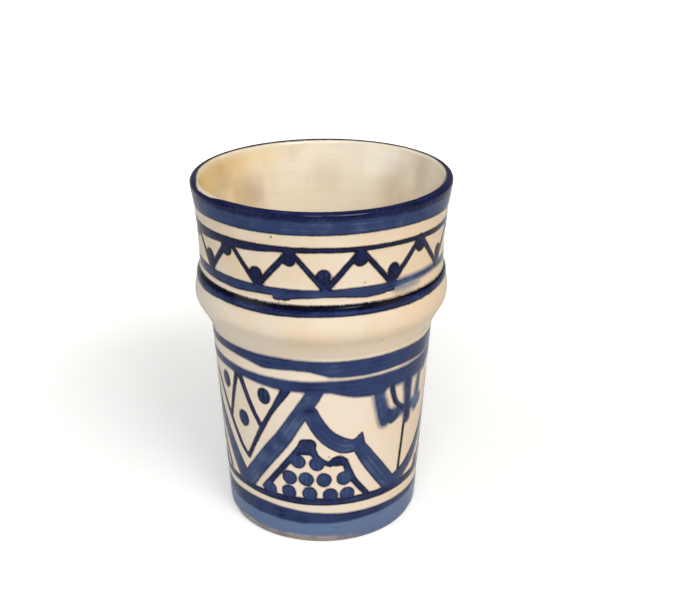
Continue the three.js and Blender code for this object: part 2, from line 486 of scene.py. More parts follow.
# The hanging triangle on the left: two long sides, the peak inside it and three dots.
HANGING_TRIANGLE = (
    Stroke(
        ((-72.0, 50.7, 1.7), (-62.9, 41.7, 1.9), (-54.5, 33.7, 1.9), (-50.0, 29.7, 1.8), (-45.2, 26.9, 1.5)),
        0.76,
    ),
    Stroke(
        (
            (-17.4, 56.1, 3.2), (-19.4, 53.7, 3.0), (-23.5, 49.7, 2.2), (-27.7, 45.7, 1.65),
            (-34.0, 39.1, 1.8), (-39.0, 33.7, 1.6), (-45.2, 26.9, 1.5),
        ),
        0.72,
    ),
    Stroke(((-49.0, 56.7, 2.2), (-51.6, 51.7, 1.8), (-54.9, 45.7, 1.7), (-58.4, 39.1, 1.7)), 0.76),
    Stroke(((-47.2, 55.7, 2.6), (-44.5, 51.7, 2.1), (-39.9, 45.7, 2.0), (-34.6, 40.1, 1.8)), 0.76),
)
TRIANGLE_DOTS = ((-60.4, 50.6), (-31.3, 50.9), (-46.7, 40.3))
TRIANGLE_DOT = (2.3, 2.9, 0.7)
BACK_TRIANGLES = (-90, 180)

# The hurried hanging triangle on the right: wet dabs pulled down from the line above it, and a hairline.
WET_DABS = (
    Stroke(((27.0, 54.7, 5.0), (46.0, 54.5, 5.0), (68.0, 54.1, 5.0)), 0.54, 1.8),
    Stroke(((37.0, 42.9, 4.6), (50.0, 42.9, 4.4), (63.0, 42.7, 5.2)), 0.46, 2.0),
    Stroke(((62.0, 55.7, 3.2), (61.6, 49.7, 3.2), (60.8, 45.7, 4.0), (60.2, 41.3, 4.2)), 0.52, 1.8),
    Stroke(((30.2, 54.7, 5.4), (30.4, 50.7, 4.6), (32.2, 46.7, 5.0), (34.4, 41.5, 4.8)), 0.54, 1.8),
    Stroke(((36.8, 42.5, 4.4), (41.8, 41.9, 4.0)), 0.62, 1.1),
    Stroke(((36.6, 45.7, 1.0), (37.8, 43.1, 2.2), (39.2, 40.6, 2.4), (43.2, 41.3, 1.6)), 0.76, 0.7),
    Stroke(
        ((38.2, 56.5, 2.2), (38.8, 51.7, 2.3), (40.9, 47.7, 2.0), (43.6, 45.3, 2.0), (48.4, 43.3, 2.0)),
        0.74, 0.7,
    ),
    Stroke(
        ((50.5, 54.7, 5.4), (50.7, 51.7, 5.0), (51.1, 47.7, 4.2), (51.9, 40.7, 4.2), (52.0, 38.7, 4.0)),
        0.6, 1.3,
    ),
    Stroke(((50.6, 56.1, 1.6), (51.0, 48.7, 1.6), (52.4, 39.3, 2.4)), 0.76, 1.0),
    Stroke(((49.8, 37.7, 1.5), (49.2, 34.2, 1.3), (47.2, 18.7, 1.3)), 0.84),
)

# Iron specks in the glaze: degrees, height and half width in millimetres.
SPECKS = ((-21.2, 103.3, 0.45), (18.9, 89.6, 0.35), (27.5, 71.0, 0.3), (3.2, 32.1, 0.3))

# Brown clouds inside: the middle of each and its size in millimetres, and how strong it is.
STAINS = (
    (-31.5, 12.0, 103.7, 8.0, 0.25), (-23.0, 22.3, 97.7, 8.0, 0.45), (22.6, 23.0, 99.9, 10.0, 0.35),
    (30.6, 14.2, 104.7, 8.0, 0.25), (2.0, 33.0, 98.7, 9.0, 0.18), (24.0, 20.0, 92.0, 10.0, 0.3),
)

# Where looks change, from where the change starts to where it is full: heights in metres above the table,
# sides in metres to the right, and ways over the lip in millimetres of painting height.
# Painted light: heights below which the wall is painted a lighter cream.
PAINTED_LIGHT_HEIGHTS = (0.075, 0.061)
THROWING_LINES_LOW = (0.065, 0.068)
THROWING_LINES_HIGH = (0.075, 0.071)
# Painted warm light: sides over which the right of the outside is tinted warm.
PAINTED_WARM_LIGHT_SIDE = (0.008, 0.036)
INSIDE_WAY = (111.3, 113.1)
WET_WAY = (111.5, 112.5)
BARE_HEIGHTS = (0.0033, 0.0021)
STAINED_HEIGHTS = (0.1115, 0.1067)
OCHRE_SIDE = (-0.025, -0.055)
ASH_SIDE = (0.022, 0.06)
WASH_RUN_SIDE = (0.003, 0.013)
WASH_RUN_HEIGHTS = (0.0001, 0.0008)


def spline(points, steps):
    """Points along a smooth curve that passes through the given ones, its two ends included."""
    points = np.array(points, float)
    padded = np.vstack([points[:1], points, points[-1:]])
    along = np.linspace(0, 1, steps + 1)[:-1, None]
    pieces = []
    for before, start, end, after in zip(padded, padded[1:], padded[2:], padded[3:]):
        lead, trail = (end - before) / 2, (after - start) / 2
        bend = (2 * start - 2 * end + lead + trail) * along**3
        pieces.append(bend + (3 * end - 3 * start - 2 * lead - trail) * along**2 + lead * along + start)
    return np.vstack([*pieces, points[-1:]])


def arc(centre, radius, first, last, steps):
    """Points of a round corner, from one angle to another."""
    angles = np.linspace(first, last, steps + 1)
    return np.column_stack([centre[0] + radius * np.cos(angles), centre[1] + radius * np.sin(angles)])


def outside_outline(shape):
    """Radius and height up the outside of the glaze: the taper, the ridge and the flared collar."""
    foot = np.array((shape.foot_radius, shape.glaze_foot))
    shoulder = np.array((shape.shoulder_radius, shape.shoulder_height))
    crest = np.array((shape.ridge_radius, shape.ridge_height))
    start = np.array((shape.collar_radius, shape.collar_height))
    brow = (crest + start) / 2 + (0, shape.ridge_brow)
    ridge = spline((shoulder, (shoulder + crest) / 2, crest, brow, start), RIDGE_STEPS)
    rise = start + (0, shape.collar_straight)
    flare = np.array((shape.rim_radius - shape.flare_lead, shape.lip_top - shape.flare_drop))
    end = np.array((shape.rim_radius, shape.lip_top - shape.lip_thickness / 2))
    t = np.linspace(0, 1, COLLAR_RINGS)[:, None]
    collar = start * (1 - t) ** 3 + 3 * rise * t * (1 - t) ** 2 + 3 * flare * t**2 * (1 - t) + end * t**3
    return np.vstack([np.linspace(foot, shoulder, WALL_RINGS), ridge[1:], collar[1:]])


def surface_place(shape, degrees, height):
    """A place on the outside of the glaze, from degrees round the cup and a height."""
    radii, heights = outside_outline(shape).T
    radius, turn = np.interp(height, heights, radii), math.radians(degrees)
    return (radius * math.sin(turn), -radius * math.cos(turn), height)


def lip_outline(shape):
    """Over the round lip, from its outer side to its inner side."""
    lip_round = shape.lip_thickness / 2
    centre = (shape.rim_radius - lip_round, shape.lip_top - lip_round)
    return arc(centre, lip_round, 0, math.pi, LIP_STEPS)[1:]


def inside_outline(shape):
    """Down the inside, from under the lip to the middle of the floor."""
    heel_outer = shape.foot_radius - shape.wall_thickness
    heel_top = shape.floor_height + shape.heel_radius
    wall = spline(
        (
            (shape.rim_radius - shape.lip_thickness, shape.lip_top - shape.lip_thickness / 2),
            (shape.collar_radius - shape.wall_thickness, shape.lip_top - shape.lip_roll),
            (shape.shoulder_radius - shape.wall_thickness, shape.shoulder_height),
            (heel_outer, heel_top),
        ),
        LINER_STEPS,
    )
    heel_centre = (heel_outer - shape.heel_radius, heel_top)
    heel = arc(heel_centre, shape.heel_radius, 0, -math.pi / 2, HEEL_STEPS)
    floor = np.linspace(heel[-1], (POLE_RADIUS, shape.floor_height), FLOOR_RINGS)
    return np.vstack([wall[1:], heel[1:], floor[1:]])


def foot_outline(shape):
    """Under the foot, from the middle of its recess over the standing ring to its outer edge."""
    recess, edge = shape.foot_recess, shape.foot_edge
    inner, outer = shape.foot_ring_inner, shape.foot_ring_outer
    return (
        (POLE_RADIUS, recess),
        (RECESS_RING, recess),
        (inner - 3 * edge, recess),
        (inner - 2 * edge, recess - edge),
        (inner - edge / 2, edge / 2),
        (inner + edge, 0),
        (outer - edge, 0),
        (outer, edge / 2),
        (outer + edge / 3, 2 * edge),
    )


def moved(outline, distance):
    """The outline moved sideways, out of the wall where the distance is positive."""
    edges = np.diff(outline, axis=0)
    edges /= np.linalg.norm(edges, axis=1)[:, None]
    normals = np.column_stack([edges[:, 1], -edges[:, 0]])
    mean = np.vstack([normals[:1], normals]) + np.vstack([normals, normals[-1:]])
    mean /= np.linalg.norm(mean, axis=1)[:, None]
    return outline + mean * np.reshape(distance, (-1, 1))


def start_ring(name, ring, facets):
    """Adds the circle that a piece is pulled up from, and opens it in edit mode with all of it selected."""
    radius, height = ring
    bpy.ops.object.select_all(action="DESELECT")
    bpy.ops.mesh.primitive_circle_add(vertices=facets, radius=radius, location=(0, 0, height))
    piece = bpy.context.object
    piece.name = name
    bpy.ops.object.transform_apply(location=True, rotation=False, scale=False)
    bpy.ops.object.mode_set(mode="EDIT")
    bpy.ops.mesh.select_mode(type="VERT")
    bpy.ops.mesh.select_all(action="SELECT")
    return piece


def pull(rings):
    """Extrudes the selected ring, which is the first one given, to each of the others in turn."""
    for (radius, height), (next_radius, next_height) in zip(rings, rings[1:]):
        bpy.ops.mesh.extrude_region_move(TRANSFORM_OT_translate={"value": (0, 0, next_height - height)})
        swell = next_radius / radius
        bpy.ops.transform.resize(value=(swell, swell, 1), center_override=(0, 0, next_height))


def select_ring(piece, radius, height):
    """Selects the open edge nearest to a radius and height, in edit mode."""
    bpy.ops.mesh.select_all(action="DESELECT")
    bpy.ops.mesh.select_non_manifold()
    bpy.ops.object.mode_set(mode="OBJECT")
    places = positions(piece)
    chosen = np.zeros(len(places), bool)
    piece.data.vertices.foreach_get("select", chosen)
    away = np.hypot(np.hypot(places[:, 0], places[:, 1]) - radius, places[:, 2] - height)
    chosen &= away < away[chosen].min() + RING_REACH
    ends = np.empty(len(piece.data.edges) * 2, np.int32)
    piece.data.edges.foreach_get("vertices", ends)
    piece.data.vertices.foreach_set("select", chosen)
    piece.data.edges.foreach_set("select", chosen[ends].reshape(-1, 2).all(axis=1))
    bpy.ops.object.mode_set(mode="EDIT")


def smooth_over(piece, levels):
    """Rounds a piece with a subdivision surface and leaves it in edit mode."""
    bpy.ops.object.mode_set(mode="OBJECT")
    rounding = piece.modifiers.new("rounding", "SUBSURF")
    rounding.levels = levels
    rounding.render_levels = levels
    bpy.ops.object.modifier_apply(modifier=rounding.name)
    bpy.ops.object.mode_set(mode="EDIT")


def close_up(piece):
    """Turns all faces outwards, smooths the shading and leaves edit mode."""
    bpy.ops.mesh.select_all(action="SELECT")
    bpy.ops.mesh.normals_make_consistent(inside=False)
    bpy.ops.object.mode_set(mode="OBJECT")
    bpy.ops.object.shade_smooth_by_angle(angle=PIECE_CREASE)


def positions(piece):
    """A piece's vertices as an array of places in metres."""
    places = np.empty(len(piece.data.vertices) * 3, np.float32)
    piece.data.vertices.foreach_get("co", places)
    return places.reshape(-1, 3).astype(float)


def place_vertices(piece, places):
    """Puts a piece's vertices at the given places."""
    piece.data.vertices.foreach_set("co", places.astype(np.float32).ravel())
    piece.data.update()


def mark(piece, name, values):
    """Keeps one number for each vertex, for the materials to read."""
    layer = piece.data.attributes.get(name) or piece.data.attributes.new(name, "FLOAT", "POINT")
    layer.data.foreach_set("value", np.asarray(values, np.float32))


def marked(piece, name):
    """The numbers that a piece's vertices keep under a name."""
    layer = piece.data.attributes[name]
    values = np.empty(len(layer.data), np.float32)
    layer.data.foreach_get("value", values)
    return values.astype(float)


def ease(value, start, end):
    """0 before start, 1 after end, and a smooth rise between."""
    t = np.clip((value - start) / (end - start), 0, 1)
    return t * t * (3 - 2 * t)


def turn_angle(places):
    """Degrees round the cup, from 0 at the front and positive to the right."""
    return np.degrees(np.arctan2(places[:, 0], -places[:, 1]))


def on_side(turn, side):
    """1 on one side of the cup, 0 on the other, and a smooth change between."""
    return 0.5 * (1 + np.cos(turn - side))


def uneven(places, shape):
    """Places moved as hand throwing leaves them: a dipped, shifted lip, a leaning ridge and a wobble."""
    turn = np.radians(turn_angle(places))
    height = places[:, 2]
    radius = np.hypot(places[:, 0], places[:, 1])
    waves = sum(
        strength * np.sin(lobes * turn + phase + twist * height) for lobes, phase, twist, strength in WAVES
    )
    lean = on_side(turn, LEAN_SIDE) * np.exp(-(((height - shape.ridge_height) / LEAN_REACH) ** 2))
    swell = shape.wobble * waves * ease(height, *WAVY_HEIGHTS) + shape.ridge_lean * lean
    grown = 1 + swell / np.maximum(radius, WAVY_CORE)
    lip = ease(height, *LIP_HEIGHTS)
    x, y = places[:, 0] * grown + shape.lip_shift * lip, places[:, 1] * grown
    return np.column_stack([x, y, height - shape.lip_dip * on_side(turn, DIP_SIDE) * lip])


def edge_height(knots, degrees_round):
    """Height of a band's edge at each angle."""
    degrees, heights = zip(*knots)
    return np.interp(degrees_round, degrees, heights, period=360)


def streaks(across, along, seed):
    """Lighter and darker lines that the brush's hairs leave, from -1 to 1."""
    hairs = np.sin(COARSE_HAIRS * across + seed)
    hairs += np.sin(FINE_HAIRS * across + 2.3 * seed + HAIR_DRIFT * along)
    return hairs / 2 * (1 - SWELL_SHARE + SWELL_SHARE * np.sin(SWELL_WAVE * along + 1.7 * seed))


class Brushwork:
    """Cobalt laid on a turned surface: how deep each vertex lies in it, its softness and its strength."""

    def __init__(self, degrees_round, height, radius):
        self.angle = degrees_round
        self.height = height
        self.degree = math.pi / 180 * radius
        self.depth = np.full(len(height), -PAINT_REACH)
        self.soft = np.full(len(height), CRISP)
        self.ink = np.full(len(height), PLAIN_INK)
        self.cover = np.full(len(height), NO_COVER)
        self.count = 0

    def lay(self, depth, soft, ink):
        """Adds paint over what is there already."""
        cover = 0.5 + depth / soft
        wins = cover > self.cover
        share = np.where(wins & (self.cover < 0), 1, np.clip(cover, 0, 1))
        self.ink += (ink - self.ink) * share
        self.cover = np.where(wins, cover, self.cover)
        self.depth = np.where(wins, np.clip(depth, -PAINT_REACH, PAINT_REACH), self.depth)
        self.soft = np.where(wins, soft, self.soft)
        self.count += 1

    def away(self, degrees):
        """Millimetres round the cup from an angle, the short way."""
        return ((self.angle - degrees + 180) % 360 - 180) * self.degree

    def ring(self, band):
        """Brushes a band round the cup."""
        lower = edge_height(band.lower, self.angle)
        upper = edge_height(band.upper, self.angle)
        depth = np.minimum(self.height - lower, upper - self.height)
        first, last = band.span
        if last - first < 360:
            middle = (first + last) / 2
            depth = np.minimum(depth, (last - first) / 2 * self.degree - np.abs(self.away(middle)))
        tone = streaks(self.height, self.angle, self.count)
        self.lay(depth, band.soft, band.ink + STREAK_DEPTH * tone)

    def stroke(self, pulled, turn=0):
        """Pulls the brush through a stroke's points, turned round the cup."""
        points = spline(pulled.points, STROKE_STEPS) if len(pulled.points) > 2 else pulled.points
        best = np.full(len(self.height), -np.inf)
        tone = np.zeros(len(self.height))
        for (a, low, wide), (b, high, next_wide) in zip(points, points[1:]):
            x, y = self.away(a + turn), self.height - low
            run, rise = (b - a) * self.degree, high - low
            size = np.maximum(run**2 + rise**2, 1e-9)
            t = np.clip((x * run + y * rise) / size, 0, 1)
            gap = np.hypot(x - t * run, y - t * rise)
            depth = (wide + (next_wide - wide) * t) / 2 - gap
            across = (x * rise - y * run) / np.sqrt(size)
            tone = np.where(depth > best, streaks(across, self.height, self.count), tone)
            best = np.maximum(best, depth)
        self.lay(best, pulled.soft, pulled.ink + STREAK_DEPTH * tone)

    def dot(self, dab, turn=0):
        """Presses a round dab, turned round the cup."""
        x, y = self.away(dab.degrees + turn), self.height - dab.height
        reach = np.hypot(x / dab.half_width, y / dab.half_height)
        depth = (1 - reach) * min(dab.half_width, dab.half_height)
        self.lay(depth, CRISP, dab.ink + STREAK_DEPTH * streaks(x, y, self.count))


def all_teeth():
    """The front teeth of the zigzag, and those that share out the rest of the way round evenly."""
    first, last = FRONT_TEETH[0], FRONT_TEETH[-1]
    start = last.apex + (last.apex - last.valley)
    hidden = TEETH_ROUND - len(FRONT_TEETH)
    step = (first.valley + 360 - start) / hidden
    teeth = list(FRONT_TEETH)
    for i in range(hidden):
        valley = start + step * i
        apex = valley + step / 2
        (low_side, *low_dab), (high_side, *high_dab) = BACK_TOOTH.low_dab, BACK_TOOTH.high_dab
        teeth.append(Tooth(valley, (valley + low_side, *low_dab), apex, (apex + high_side, *high_dab)))
    return teeth


def paint_frieze(brushwork):
    """The zigzag round the collar, with a dab in the crook of each of its turns."""
    for smear in FRIEZE_SMEARS:
        brushwork.stroke(smear)
    teeth = all_teeth()
    for tooth, after in zip(teeth, [*teeth[1:], teeth[0]]):
        low, high = (tooth.valley, VALLEY_HEIGHT), (tooth.apex, APEX_HEIGHT)
        next_valley = after.valley if after.valley > tooth.valley else after.valley + 360
        next_low = (next_valley, VALLEY_HEIGHT)
        brushwork.stroke(Stroke(((*low, RISING_WIDTH), (*high, RISING_WIDTH)), FRIEZE_INK))
        brushwork.stroke(Stroke(((*high, FALLING_WIDTH), (*next_low, FALLING_WIDTH)), FRIEZE_INK))
        for root, dab in ((low, tooth.low_dab), (high, tooth.high_dab)):
            degrees, height, half_width, _ = dab
            neck = (degrees, height, DAB_NECK * half_width)
            brushwork.stroke(Stroke(((*root, DAB_ROOT), neck), FRIEZE_INK))
            brushwork.dot(Dot(*dab, DAB_INK))


def paint_ragged_edges(brushwork):
    """The nicks that single hairs of the brush leave along a lower edge."""
    for edge in RAGGED_EDGES:
        for i in range(edge.count):
            degrees = edge.start + edge.step * (i + 0.3 * math.sin(2.3 * i))
            tip = edge.height - edge.drop * (1 + 0.4 * math.sin(1.9 * i))
            nick = ((degrees, edge.height, NICK_ROOT), (degrees + NICK_SLANT, tip, NICK_TIP))
            brushwork.stroke(Stroke(nick, edge.ink))


def paint_panel(brushwork):
    """The mountains round the lower wall, and the hanging triangles between them."""
    for part in (*WET_DABS, *FRONT_MOUNTAIN, *HANGING_TRIANGLE, *RIGHT_MOUNTAIN):
        brushwork.stroke(part)
    for turns, parts in ((SIDE_MOUNTAINS, PLAIN_MOUNTAIN), (BACK_TRIANGLES, HANGING_TRIANGLE)):
        for turn in turns:
            for part in parts:
                brushwork.stroke(part, turn)
    for turns, places, dab in (
        ((0,), FRONT_DOTS, MOUNTAIN_DOT),
        ((*SIDE_MOUNTAINS, RIGHT_MIDDLE), PLAIN_DOTS, MOUNTAIN_DOT),
        ((0, *BACK_TRIANGLES), TRIANGLE_DOTS, TRIANGLE_DOT),
    ):
        for turn in turns:
            for place in places:
                brushwork.dot(Dot(*place, *dab), turn)


def rgba(value):
    """A colour with its alpha, or a socket as it is."""
    return value if isinstance(value, NodeSocket) else (*value, 1.0)


class Nodes:
    """A shader tree that nodes are added to. What a method gives is an output socket, but for node."""

    def __init__(self, tree):
        self.tree = tree

    def feed(self, node, sockets):
        """Links or sets a node's inputs."""
        for key, value in sockets.items():
            if isinstance(value, NodeSocket):
                self.tree.links.new(value, node.inputs[key])
            else:
                node.inputs[key].default_value = value

    def node(self, kind, sockets=None, **options):
        """Adds a node, sets its options and feeds its inputs."""
        made = self.tree.nodes.new("ShaderNode" + kind)
        for name, value in options.items():
            setattr(made, name, value)
        self.feed(made, sockets or {})
        return made

    def math(self, operation, *values, clamp=False):
        """One sum."""
        return self.node("Math", dict(enumerate(values)), operation=operation, use_clamp=clamp).outputs[0]

    def add(self, first, second):
        return self.math("ADD", first, second)

    def less(self, first, second):
        return self.math("SUBTRACT", first, second)

    def times(self, product, *factors):
        for factor in factors:
            product = self.math("MULTIPLY", product, factor)
        return product

    def scaled(self, value, factor, offset):
        return self.math("MULTIPLY_ADD", value, factor, offset)

    def mix(self, share, first, second, blend="MIX"):
        """Two colours mixed."""
        sockets = {0: share, 6: rgba(first), 7: rgba(second)}
        return self.node("Mix", sockets, data_type="RGBA", blend_type=blend).outputs[2]

    def fade(self, value, start, end):
        """0 before start and 1 after end."""
        sockets = {0: value, 1: start, 2: end, 3: 0.0, 4: 1.0}
        return self.node("MapRange", sockets, interpolation_type="SMOOTHSTEP").outputs[0]

    def grain(self, place, scale, detail=2.0, roughness=0.5):
        """Noise about a half."""
        sockets = {"Vector": place, "Scale": scale, "Detail": detail, "Roughness": roughness}
        return self.node("TexNoise", sockets).outputs[0]

    def place(self, stretch=(1.0, 1.0, 1.0), slide=(0.0, 0.0, 0.0)):
        """Object coordinates, stretched and slid."""
        source = self.node("TexCoord").outputs["Object"]
        return self.node("Mapping", {"Vector": source, "Scale": stretch, "Location": slide}).outputs[0]

    def gap(self, place, middle):
        """The distance from a middle."""
        return self.node("VectorMath", {0: place, 1: middle}, operation="DISTANCE").outputs["Value"]

    def attribute(self, name):
        """A number that the vertices keep."""
        return self.node("Attribute", attribute_name=name).outputs["Fac"]

    def bump(self, height, strength, distance):
        """A surface normal roughened by a height."""
        return self.node("Bump", {"Height": height, "Strength": strength, "Distance": distance}).outputs[0]


class GroupNodes(Nodes):
    """The inside of a new node group, whose inputs are colours and numbers with their defaults."""

    def __init__(self, name, **inputs):
        super().__init__(bpy.data.node_groups.new(name, "ShaderNodeTree"))
        for title, default in inputs.items():
            kind = "NodeSocketFloat" if isinstance(default, float) else "NodeSocketColor"
            socket = self.tree.interface.new_socket(title, in_out="INPUT", socket_type=kind)
            socket.default_value = default
        self.inputs = self.tree.nodes.new("NodeGroupInput").outputs

    def give(self, **results):
        """Makes and links the group's outputs, and gives the group."""
        for title, socket in results.items():
            kind = "NodeSocketColor" if socket.type == "RGBA" else "NodeSocketFloat"
            self.tree.interface.new_socket(title, in_out="OUTPUT", socket_type=kind)
        self.feed(self.tree.nodes.new("NodeGroupOutput"), results)
        return self.tree


class MaterialNodes(Nodes):
    """The inside of a new material and its shader."""

    def __init__(self, name):
        self.material = bpy.data.materials.new(name)
        self.material.use_nodes = True
        super().__init__(self.material.node_tree)
        self.shader = self.tree.nodes["Principled BSDF"]

    def group(self, name, colours, sockets=None):
        """The outputs of a shared group, which is made the first time that it is asked for."""
        tree = bpy.data.node_groups.get(name) or GROUP_MAKERS[name](name, colours)
        return self.node("Group", sockets, node_tree=tree).outputs


def cream_glaze_group(name, colours):
    """Milky tin glaze: thick and thin clouds, wheel lines, iron specks and a faint orange peel."""
    glaze = GroupNodes(name)
    place = glaze.place()
    clouds = glaze.grain(place, scale=60, detail=3)
    lines = glaze.grain(glaze.place(stretch=(6, 6, 700)), scale=1)
    thin = glaze.add(glaze.times(clouds, 1.1), glaze.times(lines, 0.5))
    body = glaze.mix(glaze.fade(thin, 0.55, 1.15), colours.cream, colours.cream_warm)
    body = glaze.mix(1.0, body, glaze.scaled(lines, 0.1, 0.95), "MULTIPLY")
    cells = glaze.node("TexVoronoi", {"Vector": place, "Scale": 95.0}).outputs["Distance"]
    rare = glaze.fade(glaze.grain(glaze.place(slide=(3, 1, 2)), scale=140, detail=0), 0.62, 0.7)
    specks = glaze.times(glaze.less(1.0, glaze.fade(cells, 0.02, 0.06)), rare, 0.6)
    body = glaze.mix(specks, body, colours.speck)
    mottles = glaze.grain(glaze.place(stretch=(1, 1, 1.6), slide=(5, 2, 7)), scale=85, detail=3)
    body = glaze.mix(glaze.times(glaze.fade(mottles, 0.5, 0.75), 0.5), body, colours.blush)
    rough = glaze.scaled(glaze.grain(place, scale=350), 0.1, 0.06)
    peel = glaze.grain(place, scale=220, detail=1)
    return glaze.give(Color=body, Roughness=rough, Height=glaze.scaled(lines, 0.5, peel))


def cobalt_group(name, colours):
    """Brushed cobalt over a glaze: a broken edge, pooled outlines and more or less ink."""
    paint = GroupNodes(name, Under=(1, 1, 1, 1), Depth=0.0, Softness=CRISP, Ink=PLAIN_INK)
    under, depth, softness, ink = (paint.inputs[title] for title in ("Under", "Depth", "Softness", "Ink"))
    place = paint.place()
    coarse = paint.less(paint.grain(place, scale=420), 0.5)
    fine = paint.less(paint.grain(place, scale=1600, detail=1), 0.5)
    ragged = paint.scaled(coarse, 0.25, paint.times(fine, 0.2))
    hairs = paint.less(paint.grain(paint.place(stretch=(1, 1, 0.06)), scale=1100), 0.5)
    wet = paint.times(paint.math("MAXIMUM", paint.less(softness, 0.55), 0.0), 0.45)
    depth = paint.add(depth, paint.scaled(hairs, wet, ragged))
    cover = paint.math("ADD", paint.math("DIVIDE", depth, softness), 0.5, clamp=True)
    outline = paint.less(1.0, paint.fade(depth, 0.05, 0.7))
    crisp = paint.less(1.0, paint.fade(softness, CRISP, 1.0))
    pooled = paint.times(outline, crisp, 0.4)
    cloud = paint.scaled(paint.grain(place, scale=170, detail=3), 0.4, -0.2)
    mottle = paint.scaled(paint.grain(place, scale=900), 0.4, -0.2)
    mottle = paint.times(mottle, paint.fade(ink, 0.62, 0.85))
    ink = paint.add(ink, paint.add(pooled, paint.add(cloud, mottle)))
    tone = colours.wash
    darker = (colours.wash, colours.cobalt, colours.navy, colours.ink)
    for start, end, shade in zip(INK_STEPS, INK_STEPS[1:], darker):
        tone = paint.mix(paint.fade(ink, start, end), tone, shade)
    return paint.give(Color=paint.mix(cover, under, tone), Cover=cover)


def fired_clay_group(name, colours):
    """Bare buff clay: darker clouds, grit and pores."""
    clay = GroupNodes(name)
    place = clay.place()
    clouds = clay.grain(place, scale=160, detail=4, roughness=0.6)
    grit = clay.grain(place, scale=1500, roughness=0.6)
    body = clay.mix(clay.fade(clouds, 0.35, 0.75), colours.buff, colours.buff_dark)
    body = clay.mix(clay.times(clay.fade(grit, 0.55, 0.75), 0.5), body, colours.buff_dark)
    return clay.give(Color=body, Height=clay.add(grit, clouds))


def stained_inside_group(name, colours):
    """Inside: a lighter cream as painted light, ochre on the left, greyer on the right and brown clouds."""
    inside = GroupNodes(name, Glaze=(1, 1, 1, 1))
    place = inside.place()
    across, _, height = inside.node("SeparateXYZ", {0: place}).outputs
    cloud = inside.grain(inside.place(stretch=(1, 1, 0.7)), scale=75, detail=3)
    drift = inside.grain(inside.place(stretch=(1, 1, 0.6), slide=(2, 5, 3)), scale=45, detail=1)
    wheel_lines = inside.grain(inside.place(stretch=(20, 20, 1300)), scale=1)
    deep = inside.fade(height, *STAINED_HEIGHTS)
    left = inside.fade(inside.scaled(drift, -0.03, across), *OCHRE_SIDE)
    right = inside.fade(inside.scaled(drift, 0.05, across), *ASH_SIDE)
    brushed = inside.times(inside.fade(cloud, 0.46, 0.72), 0.24)
    # Painted light: the inside is mixed most of the way towards a lighter cream.
    body = inside.mix(0.7, inside.inputs["Glaze"], colours.inside_cream_painted_lit)
    body = inside.mix(inside.times(left, deep), body, colours.ochre)
    body = inside.mix(inside.times(right, deep), body, colours.ash)
    body = inside.mix(inside.times(brushed, deep), body, colours.umber)
    body = inside.mix(inside.times(inside.fade(wheel_lines, 0.45, 0.8), 0.06), body, colours.umber)
    for x, y, z, size, strength in STAINS:
        gap = inside.gap(place, (x * MM, y * MM, z * MM))
        gap = inside.scaled(cloud, -size * MM, gap)
        share = inside.times(inside.fade(gap, size * 0.6 * MM, -size * 0.4 * MM), strength)
        body = inside.mix(share, body, colours.umber)
    return inside.give(Color=body)


GROUP_MAKERS = {
    "Cream Glaze": cream_glaze_group,
    "Brushed Cobalt": cobalt_group,
    "Fired Clay": fired_clay_group,
    "Stained Inside": stained_inside_group,
}


def painted_glaze_material(shape, colours):
    """Cream glaze with brushed cobalt, worn back to bare clay along the foot."""
    look = MaterialNodes("painted_glaze")
    glaze = look.group("Cream Glaze", colours)
    clay = look.group("Fired Clay", colours)
    place = look.place()
    across, _, height = look.node("SeparateXYZ", {0: place}).outputs
    way = look.attribute("height")
    # Painted light: the lower wall and the underside of the ridge are painted a lighter cream.
    thick = look.times(look.fade(height, *PAINTED_LIGHT_HEIGHTS), 0.6)
    under = look.mix(thick, glaze["Color"], colours.painted_lit_cream)
    lines = look.fade(look.grain(look.place(stretch=(4, 4, 480)), scale=1, detail=1), 0.48, 0.7)
    low, high = look.fade(height, *THROWING_LINES_LOW), look.fade(height, *THROWING_LINES_HIGH)
    under = look.mix(look.times(low, high, lines, 0.24), under, colours.umber)
    # Painted warm light: the right side of the outside is tinted warm cream.
    under = look.mix(look.times(look.fade(across, *PAINTED_WARM_LIGHT_SIDE), 0.75), under, colours.cream_warm)
    for degrees, level, size in SPECKS:
        gap = look.gap(place, surface_place(shape, degrees, level * MM))
        speck = look.times(look.fade(gap, size * 1.3 * MM, size * 0.5 * MM), 0.7)
        under = look.mix(speck, under, colours.speck)
    # The lip's inner side takes the inside's look, with its painted light.
    stained = look.group("Stained Inside", colours, {"Glaze": glaze["Color"]})
    under = look.mix(look.fade(way, *INSIDE_WAY), under, stained["Color"])
    marks = {"Depth": "paint_depth", "Softness": "paint_soft", "Ink": "paint_ink"}
    brushed = {title: look.attribute(name) for title, name in marks.items()}
    cobalt = look.group("Brushed Cobalt", colours, {"Under": under, **brushed})
    ragged = look.scaled(look.grain(place, scale=160, detail=3), 0.002, -0.001)
    bare = look.fade(look.add(height, ragged), *BARE_HEIGHTS)
    bare = look.times(bare, look.fade(across, *WASH_RUN_SIDE[::-1]))
    gloss = look.scaled(cobalt["Cover"], 0.02, glaze["Roughness"])
    look.feed(look.shader, {
        "Base Color": look.mix(bare, cobalt["Color"], clay["Color"]),
        "Roughness": look.math("MAXIMUM", gloss, look.times(bare, 0.8)),
        "Normal": look.bump(glaze["Height"], 0.25, 0.2 * MM),
        "Coat Weight": look.times(look.fade(way, *WET_WAY), 0.6),
        "Specular IOR Level": 0.13,
    })
    return look.material


def inside_glaze_material(colours):
    """Cream glaze inside, lightened as painted light, stained ochre on the left and greyer on the right."""
    look = MaterialNodes("inside_glaze")
    glaze = look.group("Cream Glaze", colours)
    look.feed(look.shader, {
        "Base Color": look.group("Stained Inside", colours, {"Glaze": glaze["Color"]})["Color"],
        "Roughness": glaze["Roughness"],
        "Normal": look.bump(glaze["Height"], 0.1, 0.2 * MM),
    })
    return look.material


